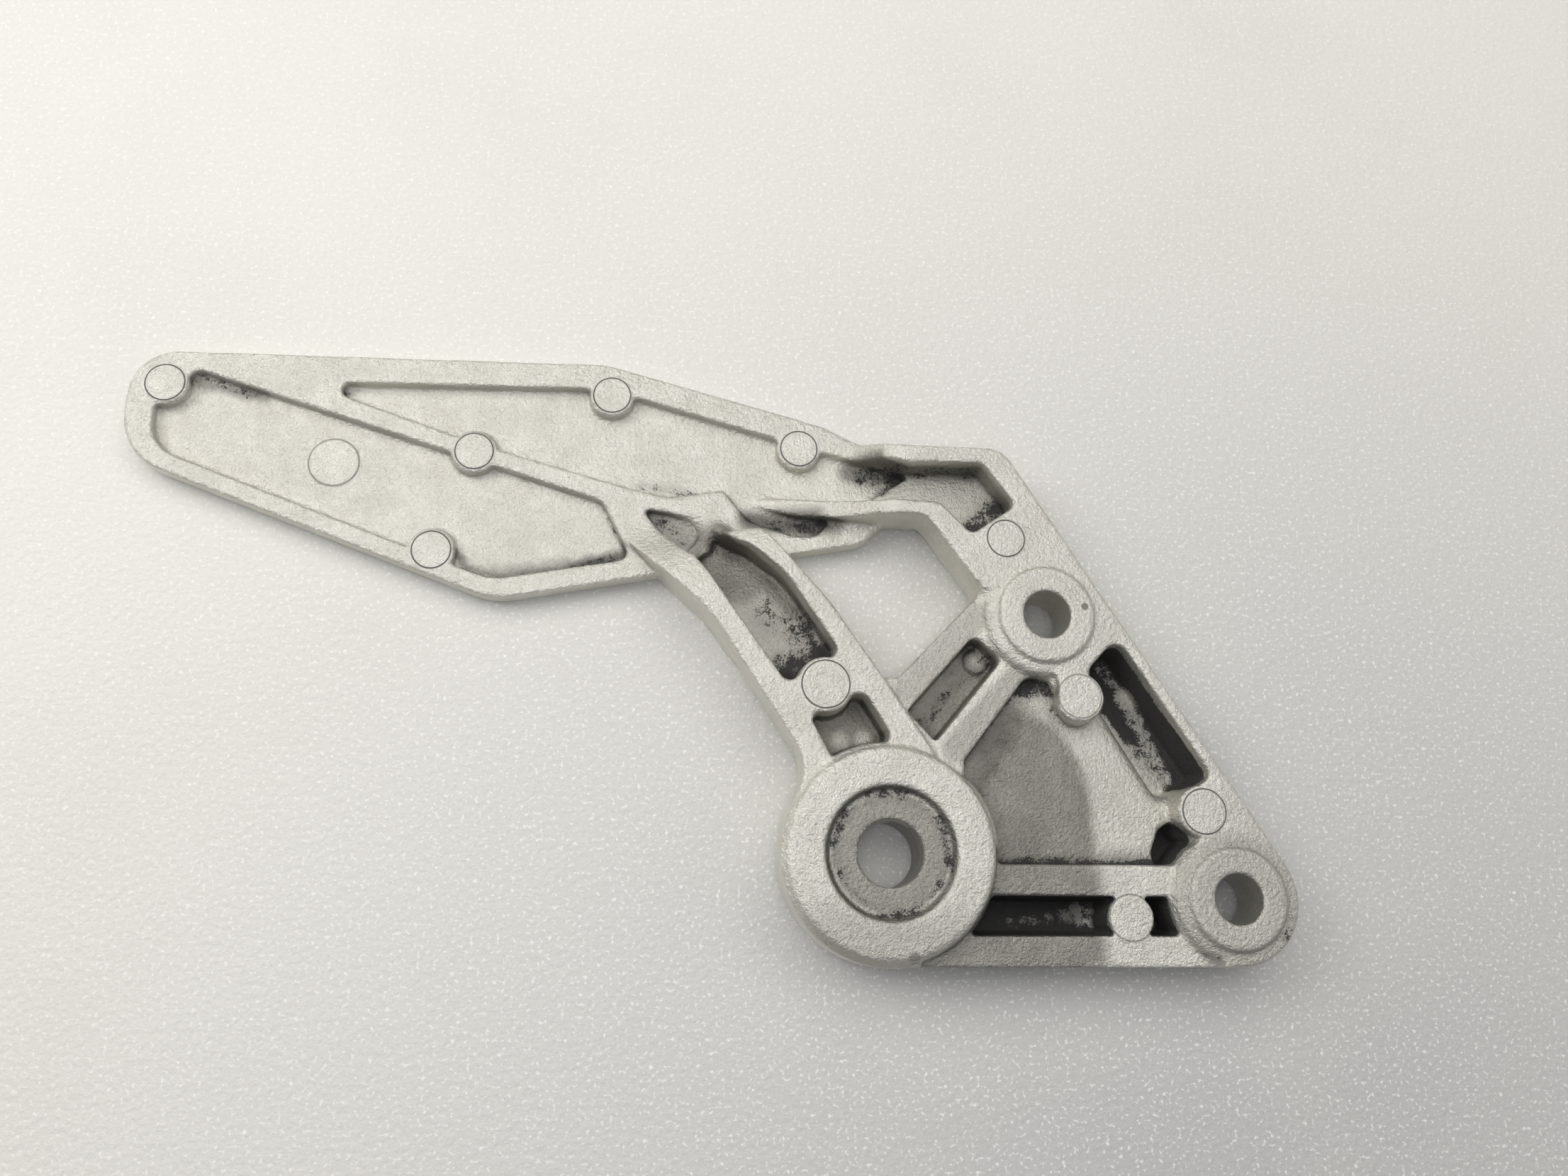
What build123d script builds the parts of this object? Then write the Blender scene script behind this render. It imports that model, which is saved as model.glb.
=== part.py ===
"""Motorcycle footrest hanger: one die-cast aluminium plate with three bosses, two arms and a heel guard.

Frame: origin on the footpeg bore where it meets the flat outer face, X along the straight bottom edge,
Y towards the heel guard's upper edge, Z up out of the outer face towards the ribbed inner side.
Lengths in millimetres, angles in degrees.
"""

import os
from math import atan2, cos, degrees, hypot, radians, sin

from build123d import *

os.makedirs("parts", exist_ok=True)

# Heights over the flat outer face
parting_height = 6.5
arm_top = 12.5
strut_top = 10.8
collar_top = arm_top
bolt_seat_top = 13.6
peg_boss_top = 14.0
guard_top = 4.5
guard_floor = 2.3
arm_floor = 6.0
panel_top = 8.2
deep_floor = 2.2
clear_above = 20.0
mark_root = 1.0

# Bosses and their bores
peg_boss_radius = 19.6
peg_boss_draft = 6.0
peg_recess_radius = 11.6
peg_recess_depth = 1.3
peg_recess_bevel = 0.6
peg_bore_radius = 6.0
peg_spot_radius = 13.0
peg_spot_depth = 1.0
bolt_collar_radius = 11.8
bolt_collar_draft = 3.0
bolt_seat_radius = 9.15
bolt_bore_radius = 4.5
bolt_head_radius = 7.5
bolt_head_depth = 3.0
peg_edge_round = 1.4
collar_edge_round = 1.6
seat_edge = 0.4
boss_gap = 0.1
relief_overlap = 3.0

# Places of the bosses
peg_at = (0.0, 0.0)
upper_bolt_at = (30.4, 44.1)
lower_bolt_at = (63.2, -7.6)

# Round lands left by the ejector pins
small_pin_radius = 3.6
body_pin_radius = 4.1
arm_pin_radius = 4.4
pin_proud = 0.15
land_wall = 0.7
guard_pins = ((-135.8, 86.3), (-52.2, 87.9), (-77.9, 75.1), (-84.5, 55.2), (-15.4, 78.4))
arm_pin = (-11.4, 30.0)
right_arm_pin = (23.3, 58.9)
panel_pin = (36.1, 28.8)
edge_pin = (58.3, 8.0)
strut_pin = (43.9, -10.9)

# Wall slopes
under_round = 4.0
pocket_draft = 4.0
guard_under_round = 1.0

# Ramps from the arms' tops down to the heel guard's rim
left_ramp = Vector(0.4, -0.916, 0).normalized()
ramp_foot = 3.8
left_ramp_start = -79.0
left_ramp_end = -57.0
left_ramp_side = 9.0
left_ramp_width = 50.0
left_ramp_reach = -160.0
right_ramp_start = -8.5
right_ramp_end = 5.0
right_ramp_side = 60.0
right_ramp_width = 30.0
right_ramp_reach = -34.0

# The web's panel, folded along a crease
crease = Vector(0.315, -0.949, 0).normalized()
crease_foot = Vector(38.6, 1.1, 0)
panel_reach = 40.0
panel_fall = 0.9
panel_round = 3.0
panel_shoulder = (46.0, 21.0)

# Floors of the arms' pockets, which sink towards the heel guard
left_floor_start = -70.0
left_floor_end = -48.0
right_floor_end = 15.0
right_floor_side = 55.0
right_floor_reach = 60.0
floor_step = 1.1
saddle_top = 4.7

# The right arm's inner rib, which climbs from the heel guard's floor
inner_rib_start = -30.0
inner_rib_rise = ((-15.0, 4.8), (-5.0, 8.6))

# Low raised marks: the date ring's plain disc and a round dot in the strut's pocket
date_disc_at = (-104.1, 72.4)
date_disc_radius = 4.7
date_disc_height = 0.25
strut_dot_at = (18.1, 36.0)
strut_dot_radius = 2.3
strut_dot_height = 0.8


def on_circle(centre, radius, angle):
    """Give the point of a circle round centre that lies at an angle from X."""
    return (centre[0] + radius * cos(radians(angle)), centre[1] + radius * sin(radians(angle)))


def outline(*corners):
    """Draw a closed outline from (x, y, corner radius) triples."""
    with BuildSketch() as drawn:
        with BuildLine():
            FilletPolyline(
                [(x, y) for x, y, _ in corners],
                radius=[corner_radius for _, _, corner_radius in corners],
                close=True,
            )
        make_face()
    return drawn.sketch


def disc(centre, radius):
    """Draw a disc about a plan point."""
    with BuildSketch() as drawn:
        with Locations(centre):
            Circle(radius)
    return drawn.sketch


# The right edge leaves the lower bolt collar as its tangent and ends in the right arm's top corner
top_corner = (23.4, 77.2)
to_corner = (top_corner[0] - lower_bolt_at[0], top_corner[1] - lower_bolt_at[1])
tangent_length = (hypot(*to_corner) ** 2 - bolt_collar_radius**2) ** 0.5
tangent_angle = degrees(atan2(to_corner[1], to_corner[0]) - atan2(tangent_length, bolt_collar_radius))
right_edge_foot = on_circle(lower_bolt_at, bolt_collar_radius, tangent_angle)
bottom_edge = lower_bolt_at[1] - bolt_collar_radius
neck_corner = (-13.4, 14.0)
neck_radius = 9.0
left_arm_wall = ((-47.2, 56.8, 5.0), (-41.2, 50.9, 12.0), (-32.6, 43.1, 25.0))

with BuildSketch() as body_outline:
    add(disc(peg_at, peg_boss_radius))
    add(disc(lower_bolt_at, bolt_collar_radius))
    add(
        outline(
            (0.0, bottom_edge, 0),
            (lower_bolt_at[0], bottom_edge, 0),
            (*right_edge_foot, 0),
            (*top_corner, 5.0),
            (3.0, 77.2, 14.0),
            (-12.0, 82.4, 0),
            (-12.0, 63.4, 0),
            (8.0, 63.4, 4.0),
            (18.6, 48.7, 2.0),
            (2.4, 31.9, 1.2),
            (-0.9, 31.9, 0.8),
            (-10.5, 45.7, 20.0),
            (-28.0, 65.6, 3.0),
            (-30.6, 68.8, 0.8),
            (-40.6, 67.2, 6.0),
            (-46.8, 68.3, 0),
            (-54.3, 66.5, 0),
            *left_arm_wall,
            (*neck_corner, 0),
        )
    )
    fillet(body_outline.vertices().sort_by_distance(neck_corner)[0], radius=neck_radius)

guard_outline = outline(
    (-142.5, 71.8, 12.0),
    (-142.5, 92.8, 9.0),
    (-53.5, 94.4, 15.0),
    (-10.5, 83.4, 12.0),
    (4.5, 76.2, 0),
    (3.0, 65.0, 0),
    (-3.0, 59.3, 3.5),
    (-72.9, 46.0, 14.0),
)

# The tongue that carries the left arm's outer wall straight down to the heel guard's plate
tongue_outline = outline(
    (-50.0, 60.0, 0),
    *left_arm_wall,
    (-29.3, 38.1, 0),
    (-24.0, 32.0, 0),
    (-21.0, 36.0, 0),
    (-30.0, 62.0, 0),
)

# Pockets between the ribs, drawn where their walls meet the ribs' tops
with BuildSketch() as guard_low_pocket:
    add(
        outline(
            (-137.3, 73.6, 7.0),
            (-137.3, 83.0, 0),
            (-135.8, 86.3, 0),
            (-132.0, 86.3, 0),
            (-131.3, 89.7, 2.0),
            (-53.2, 66.1, 2.5),
            (-47.6, 54.8, 1.5),
            (-73.4, 49.9, 10.0),
        )
    )
    for pin in guard_pins:
        add(disc(pin, small_pin_radius + land_wall), mode=Mode.SUBTRACT)

with BuildSketch() as guard_high_pocket:
    add(
        outline(
            (-110.6, 87.9, 1.5),
            (-53.1, 89.3, 6.0),
            (-3.0, 75.9, 12.0),
            (6.5, 73.3, 0),
            (-5.8, 65.6, 0),
            (-9.0, 64.4, 0.8),
            (-12.0, 60.4, 3.0),
            (-16.5, 60.5, 3.0),
            (-25.3, 63.1, 1.5),
            (-30.2, 69.2, 0.8),
            (-40.6, 67.4, 6.0),
            (-46.8, 68.5, 4.0),
            (-78.0, 76.9, 0),
        )
    )
    for pin in guard_pins:
        add(disc(pin, small_pin_radius + land_wall), mode=Mode.SUBTRACT)

small_pocket = outline(
    (-45.7, 65.0, 0.6),
    (-40.2, 64.2, 4.0),
    (-35.6, 62.9, 1.6),
    (-34.2, 60.7, 1.2),
    (-35.3, 58.2, 1.0),
    (-37.6, 55.9, 0.8),
    (-42.0, 60.1, 3.0),
)

# The low saddle between the left arm's two ribs, where they run out into the heel guard
saddle_outline = outline(
    (-46.6, 69.6, 0),
    (-46.0, 66.4, 0),
    (-45.7, 65.1, 0),
    (-42.0, 60.1, 6.0),
    (-36.2, 54.2, 0),
    (-31.6, 57.0, 0),
    (-32.4, 61.2, 2.0),
    (-34.0, 64.2, 3.0),
    (-35.0, 67.0, 0),
    (-35.4, 69.6, 0),
)

with BuildSketch() as left_arm_pocket:
    add(
        outline(
            (-32.7, 61.9, 0.4),
            (-30.2, 59.0, 2.0),
            (-25.1, 56.4, 6.0),
            (-18.5, 50.7, 12.0),
            (-8.5, 36.1, 1.8),
            (-18.5, 30.1, 1.8),
            (-32.5, 49.9, 8.0),
            (-36.0, 54.3, 0.8),
            (-34.7, 56.0, 0.6),
            (-32.5, 57.2, 0.8),
        )
    )
    add(disc(arm_pin, arm_pin_radius + land_wall), mode=Mode.SUBTRACT)

with BuildSketch() as square_pocket:
    add(
        outline(
            (-14.2, 23.9, 1.5),
            (-9.6, 27.9, 0),
            (-4.2, 28.7, 2.0),
            (0.5, 21.2, 1.8),
            (-1.0, 17.5, 0),
            (-10.2, 16.5, 1.2),
        )
    )
    add(disc(arm_pin, arm_pin_radius + land_wall), mode=Mode.SUBTRACT)
    add(disc(peg_at, peg_boss_radius + boss_gap), mode=Mode.SUBTRACT)

with BuildSketch() as right_arm_pocket:
    add(
        outline(
            (-7.4, 65.5, 0),
            (5.0, 73.7, 0),
            (19.4, 74.2, 2.0),
            (25.8, 65.8, 1.5),
            (16.8, 59.6, 1.6),
            (10.8, 66.0, 4.0),
        )
    )
    add(disc(right_arm_pin, small_pin_radius + land_wall), mode=Mode.SUBTRACT)

strut_pocket = outline((3.7, 25.8, 0.8), (17.0, 40.6, 1.8), (22.2, 35.6, 1.5), (9.1, 19.8, 1.0))

with BuildSketch() as web_pocket:
    add(
        outline(
            (14.0, 16.8, 2.0),
            (26.6, 33.0, 3.0),
            (33.6, 31.6, 1.0),
            (38.3, 34.2, 1.0),
            (44.0, 40.4, 2.5),
            (60.6, 14.6, 1.8),
            (55.5, 11.0, 0),
            (57.8, 2.5, 1.5),
            (53.0, -1.75, 3.0),
            (15.0, -1.75, 0),
        )
    )
    add(disc(panel_pin, body_pin_radius + land_wall), mode=Mode.SUBTRACT)
    add(disc(edge_pin, body_pin_radius + land_wall), mode=Mode.SUBTRACT)
    add(disc(peg_at, peg_boss_radius + boss_gap), mode=Mode.SUBTRACT)
    add(disc(lower_bolt_at, bolt_collar_radius + boss_gap), mode=Mode.SUBTRACT)

# The raised panel leaves a trench along the right edge and a pit by the lower bolt boss
panel_outline = outline(
    (8.0, -6.0, 0),
    (50.4, -6.0, 0),
    (49.6, 1.0, 2.0),
    (51.2, 5.0, 1.5),
    (54.6, 7.0, 1.5),
    (60.0, 4.0, 0),
    (64.0, 11.2, 0),
    (51.6, 11.4, 2.0),
    (39.6, 31.2, 2.0),
    (38.5, 38.0, 0),
    (8.0, 38.0, 0),
)

with BuildSketch() as bottom_pocket:
    add(outline((12.0, -7.0, 0), (54.0, -7.0, 0), (56.0, -14.2, 0), (12.0, -14.2, 0)))
    add(disc(peg_at, peg_boss_radius + boss_gap), mode=Mode.SUBTRACT)
    add(disc(lower_bolt_at, bolt_collar_radius + boss_gap), mode=Mode.SUBTRACT)
    add(disc(strut_pin, body_pin_radius), mode=Mode.SUBTRACT)

# Where the struts lie lower than the arms
with BuildSketch() as strut_relief:
    add(
        outline(
            (-1.2, 32.4, 0),
            (9.6, 16.2, 0),
            (16.0, 12.0, 0),
            (33.0, 28.0, 0),
            (28.0, 48.7, 0),
            (12.0, 48.7, 0),
        )
    )
    add(outline((5.0, -22.0, 0), (60.0, -22.0, 0), (60.0, 1.5, 0), (5.0, 1.5, 0)))
    add(disc(peg_at, peg_boss_radius - relief_overlap), mode=Mode.SUBTRACT)
    for bolt_at in (upper_bolt_at, lower_bolt_at):
        add(disc(bolt_at, bolt_collar_radius - relief_overlap), mode=Mode.SUBTRACT)

panel_plane = Plane(
    origin=(crease_foot.X, crease_foot.Y, 0),
    x_dir=crease.cross(Vector(0, 0, 1)) * -1,
    z_dir=crease,
)
left_ramp_plane = Plane(
    origin=left_ramp.cross(Vector(0, 0, 1)) * -left_ramp_side,
    x_dir=left_ramp,
    z_dir=left_ramp.cross(Vector(0, 0, 1)),
)

# The air over the left ramp
with BuildSketch(left_ramp_plane) as left_ramp_air:
    with BuildLine():
        Polyline(
            (left_ramp_end, arm_top),
            (left_ramp_end, clear_above),
            (left_ramp_reach, clear_above),
            (left_ramp_reach, ramp_foot),
            (left_ramp_start, ramp_foot),
        )
        Spline((left_ramp_start, ramp_foot), (left_ramp_end, arm_top), tangents=((1, 0), (1, 0)))
    make_face()

# The body between the bosses, with both arms: straight walls over the parting line, round edges under it
with BuildPart() as body:
    with BuildSketch():
        add(body_outline.sketch)
    extrude(amount=arm_top)
    fillet(body.faces().sort_by(Axis.Z)[0].outer_wire().edges(), radius=under_round)

    extrude(left_ramp_air.sketch, amount=left_ramp_width, mode=Mode.SUBTRACT)

    with BuildSketch(Plane.XZ.offset(-right_ramp_side)):
        with BuildLine():
            Polyline(
                (right_ramp_end, arm_top),
                (right_ramp_end, clear_above),
                (right_ramp_reach, clear_above),
                (right_ramp_reach, ramp_foot),
                (right_ramp_start, ramp_foot),
            )
            Spline((right_ramp_start, ramp_foot), (right_ramp_end, arm_top), tangents=((1, 0), (1, 0)))
        make_face()
    extrude(amount=-right_ramp_width, mode=Mode.SUBTRACT)

    with BuildSketch(Plane.XY.offset(strut_top)):
        add(strut_relief.sketch)
    extrude(amount=clear_above - strut_top, mode=Mode.SUBTRACT)

# The heel guard's plate and the tongue under the left arm
with BuildPart() as guard:
    with BuildSketch():
        add(guard_outline)
    extrude(amount=guard_top)
    fillet(guard.faces().sort_by(Axis.Z)[0].outer_wire().edges(), radius=guard_under_round)

with BuildPart() as tongue:
    with BuildSketch():
        add(tongue_outline)
    extrude(amount=parting_height)
    extrude(left_ramp_air.sketch, amount=left_ramp_width, mode=Mode.SUBTRACT)

# Bosses standing over the ribs
with BuildPart() as bosses:
    with BuildSketch(Plane.XY.offset(parting_height)):
        add(disc(peg_at, peg_boss_radius))
    extrude(amount=peg_boss_top - parting_height, taper=peg_boss_draft)
    fillet(bosses.edges().group_by(Axis.Z)[-1], radius=peg_edge_round)

with BuildPart() as collars:
    for bolt_at in (upper_bolt_at, lower_bolt_at):
        with BuildSketch(Plane.XY.offset(parting_height)):
            add(disc(bolt_at, bolt_collar_radius))
        extrude(amount=collar_top - parting_height, taper=bolt_collar_draft)
    fillet(collars.edges().group_by(Axis.Z)[-1], radius=collar_edge_round)
    for bolt_at in (upper_bolt_at, lower_bolt_at):
        with BuildSketch(Plane.XY.offset(collar_top)):
            add(disc(bolt_at, bolt_seat_radius))
        extrude(amount=bolt_seat_top - collar_top)
    chamfer(collars.edges().group_by(Axis.Z)[-1], length=seat_edge)

# The arms' pockets have floors of their own
with BuildPart() as left_arm_hollow:
    with BuildSketch(Plane.XY.offset(arm_top)):
        add(left_arm_pocket.sketch)
    extrude(amount=guard_floor - arm_top, taper=pocket_draft)
    with BuildSketch(left_ramp_plane):
        with BuildLine():
            Polyline(
                (left_floor_end, arm_floor),
                (0.0, arm_floor),
                (0.0, 0.0),
                (left_ramp_reach, 0.0),
                (left_ramp_reach, guard_floor),
                (left_floor_start, guard_floor),
            )
            Spline((left_floor_start, guard_floor), (left_floor_end, arm_floor), tangents=((1, 0), (1, 0)))
        make_face()
    extrude(amount=left_ramp_width, mode=Mode.SUBTRACT)

with BuildPart() as right_arm_hollow:
    with BuildSketch(Plane.XY.offset(arm_top)):
        add(right_arm_pocket.sketch)
    extrude(amount=guard_floor - arm_top, taper=pocket_draft)
    with BuildSketch(Plane.XZ.offset(-right_floor_side)):
        with BuildLine():
            Polyline(
                (right_floor_end, arm_floor),
                (right_floor_reach, arm_floor),
                (right_floor_reach, 0.0),
                (right_ramp_reach, 0.0),
                (right_ramp_reach, guard_floor + floor_step),
                (right_ramp_start, guard_floor + floor_step),
            )
            Spline(
                (right_ramp_start, guard_floor + floor_step),
                (right_floor_end, arm_floor),
                tangents=((1, 0), (1, 0)),
            )
        make_face()
    extrude(amount=-right_ramp_width, mode=Mode.SUBTRACT)

# The web's pocket round its raised panel, which is folded along a crease and rounded into the trench
with BuildPart() as panel:
    with BuildSketch(panel_plane):
        with BuildLine():
            Polyline(
                (-panel_reach, deep_floor / 2),
                (panel_reach, deep_floor / 2),
                (panel_reach, panel_top - panel_fall),
                (0.0, panel_top),
                (-panel_reach, panel_top - panel_fall),
                close=True,
            )
        make_face()
    extrude(amount=panel_reach, both=True)
    with BuildSketch():
        add(panel_outline)
    extrude(amount=clear_above, mode=Mode.INTERSECT)
    fillet(panel.edges().sort_by_distance((*panel_shoulder, panel_top))[0], radius=panel_round)

with BuildPart() as web_hollow:
    with BuildSketch(Plane.XY.offset(arm_top)):
        add(web_pocket.sketch)
    extrude(amount=deep_floor - arm_top, taper=pocket_draft)
    add(panel.part, mode=Mode.SUBTRACT)

# The right arm's inner rib grows out of the heel guard's floor
with BuildPart() as inner_rib:
    with BuildSketch(Plane.XY.offset(guard_floor - mark_root)):
        add(
            outline(
                (-29.5, 68.4, 0),
                (-16.4, 68.1, 30.0),
                (0.6, 66.2, 0),
                (10.0, 66.0, 0),
                (8.0, 63.4, 0),
                (-6.0, 63.5, 20.0),
                (-16.4, 64.6, 20.0),
            )
        )
    extrude(amount=arm_top - guard_floor + mark_root)
    with BuildSketch(Plane.XZ.offset(-right_floor_side)):
        with BuildLine():
            Polyline(
                (right_ramp_end, arm_top),
                (right_floor_reach, arm_top),
                (right_floor_reach, 0.0),
                (inner_rib_start, 0.0),
                (inner_rib_start, guard_floor),
            )
            Spline(
                (inner_rib_start, guard_floor),
                *inner_rib_rise,
                (right_ramp_end, arm_top),
                tangents=((1, 0), (1, 0)),
            )
        make_face()
    extrude(amount=-right_ramp_width, mode=Mode.INTERSECT)

# The whole casting
with BuildPart() as hanger:
    add(body.part)
    add(guard.part)
    add(tongue.part)
    add(bosses.part)
    add(collars.part)

    for pocket in (guard_low_pocket.sketch, guard_high_pocket.sketch, small_pocket):
        with BuildSketch(Plane.XY.offset(guard_top)):
            add(pocket)
        extrude(amount=guard_floor - guard_top, taper=pocket_draft, mode=Mode.SUBTRACT)
        with BuildSketch(Plane.XY.offset(guard_top)):
            add(pocket)
        extrude(amount=clear_above - guard_top, mode=Mode.SUBTRACT)
    for pocket, top, floor in (
        (square_pocket.sketch, arm_top, arm_floor),
        (strut_pocket, arm_top, arm_floor),
        (bottom_pocket.sketch, arm_top, deep_floor),
    ):
        with BuildSketch(Plane.XY.offset(top)):
            add(pocket)
        extrude(amount=floor - top, taper=pocket_draft, mode=Mode.SUBTRACT)
    with BuildSketch(Plane.XY.offset(saddle_top)):
        add(saddle_outline)
    extrude(amount=clear_above - saddle_top, mode=Mode.SUBTRACT)
    add(left_arm_hollow.part, mode=Mode.SUBTRACT)
    add(right_arm_hollow.part, mode=Mode.SUBTRACT)
    add(web_hollow.part, mode=Mode.SUBTRACT)
    add(inner_rib.part)

    for pin, radius, foot, top in (
        *((pin, small_pin_radius, guard_floor, guard_top) for pin in guard_pins),
        (arm_pin, arm_pin_radius, arm_floor, arm_top),
        (right_arm_pin, small_pin_radius, arm_floor, arm_top),
        (panel_pin, body_pin_radius, panel_top - panel_fall, arm_top),
        (edge_pin, body_pin_radius, panel_top - panel_fall, arm_top),
        (strut_pin, body_pin_radius, deep_floor, strut_top),
    ):
        with BuildSketch(Plane.XY.offset(foot)):
            add(disc(pin, radius))
        extrude(amount=top + pin_proud - foot)

    for mark, radius, foot, height in (
        (date_disc_at, date_disc_radius, guard_floor, date_disc_height),
        (strut_dot_at, strut_dot_radius, arm_floor, strut_dot_height),
    ):
        with BuildSketch(Plane.XY.offset(foot - mark_root)):
            add(disc(mark, radius))
        extrude(amount=mark_root + height)

    with Locations((*peg_at, peg_boss_top)):
        Hole(peg_recess_radius, peg_recess_depth)
    with Locations((*peg_at, peg_boss_top - peg_recess_bevel / 2)):
        Cone(
            peg_recess_radius,
            peg_recess_radius + peg_recess_bevel,
            peg_recess_bevel,
            mode=Mode.SUBTRACT,
        )
    with Locations((*peg_at, peg_boss_top)):
        Hole(peg_bore_radius)
    with Locations((*upper_bolt_at, bolt_seat_top), (*lower_bolt_at, bolt_seat_top)):
        Hole(bolt_bore_radius)
    with BuildSketch():
        add(disc(peg_at, peg_spot_radius))
    extrude(amount=peg_spot_depth, mode=Mode.SUBTRACT)
    with BuildSketch():
        add(disc(upper_bolt_at, bolt_head_radius))
        add(disc(lower_bolt_at, bolt_head_radius))
    extrude(amount=bolt_head_depth, mode=Mode.SUBTRACT)

hanger.part.label = "hanger"
export_step(hanger.part, "parts/hanger.step")
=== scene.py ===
"""Dressed model of a cast-aluminium motorcycle footrest hanger, with its floor, lamps and camera.

Everything is in metres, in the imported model's frame: origin on the footpeg bore at the flat outer
face, X along the straight bottom edge, Y up to the heel guard, Z out of the ribbed inner side.
"""

import logging
from dataclasses import dataclass, field
from enum import Enum
from typing import ClassVar

import bmesh
import bpy
import numpy as np
from mathutils import Matrix, Vector


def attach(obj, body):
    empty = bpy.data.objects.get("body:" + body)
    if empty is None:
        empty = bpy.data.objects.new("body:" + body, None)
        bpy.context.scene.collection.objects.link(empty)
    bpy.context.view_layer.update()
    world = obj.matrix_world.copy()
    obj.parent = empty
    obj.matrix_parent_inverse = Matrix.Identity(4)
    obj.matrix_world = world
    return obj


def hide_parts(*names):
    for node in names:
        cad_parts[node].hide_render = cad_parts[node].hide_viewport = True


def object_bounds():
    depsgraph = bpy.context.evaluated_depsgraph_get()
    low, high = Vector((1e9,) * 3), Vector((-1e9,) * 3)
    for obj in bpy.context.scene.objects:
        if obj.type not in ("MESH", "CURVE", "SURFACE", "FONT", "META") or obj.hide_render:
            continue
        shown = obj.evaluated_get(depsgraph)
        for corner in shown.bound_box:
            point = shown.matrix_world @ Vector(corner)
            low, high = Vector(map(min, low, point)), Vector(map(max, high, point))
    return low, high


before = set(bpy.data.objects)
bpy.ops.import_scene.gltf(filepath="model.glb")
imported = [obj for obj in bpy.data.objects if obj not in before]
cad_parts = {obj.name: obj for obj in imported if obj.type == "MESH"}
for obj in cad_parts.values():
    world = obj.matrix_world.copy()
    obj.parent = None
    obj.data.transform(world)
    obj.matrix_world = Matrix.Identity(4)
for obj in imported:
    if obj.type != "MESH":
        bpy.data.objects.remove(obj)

Colour = tuple[float, float, float, float]
Place2 = tuple[float, float]
Place3 = tuple[float, float, float]
Span = tuple[float, float]

LOG = logging.getLogger("footrest_hanger")
MM = 0.001
CAD_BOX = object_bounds()


class Facing(Enum):
    """Where a lamp stands, as the side of the part that it lights."""

    ABOVE = "above"
    LEFT = "left"
    RIGHT = "right"
    BEHIND = "behind"


def deselect_all() -> None:
    """Leave object mode with nothing selected."""
    if bpy.context.object and bpy.context.object.mode != "OBJECT":
        bpy.ops.object.mode_set(mode="OBJECT")
    bpy.ops.object.select_all(action="DESELECT")


def pick(piece: bpy.types.Object) -> None:
    """Make one object the only one selected, and the active one.

    Args:
        piece: The object that the next operators work on.
    """
    deselect_all()
    piece.select_set(True)
    bpy.context.view_layer.objects.active = piece


def apply_modifier(piece: bpy.types.Object, kind: str, **settings: object) -> None:
    """Add a modifier with its settings and apply it at once.

    Args:
        piece: The object that takes the modifier.
        kind: Blender's name of the modifier type.
        **settings: The modifier's properties by name.
    """
    pick(piece)
    modifier = piece.modifiers.new(kind.title(), kind)
    for name, value in settings.items():
        setattr(modifier, name, value)
    bpy.ops.object.modifier_apply(modifier=modifier.name)


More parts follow.
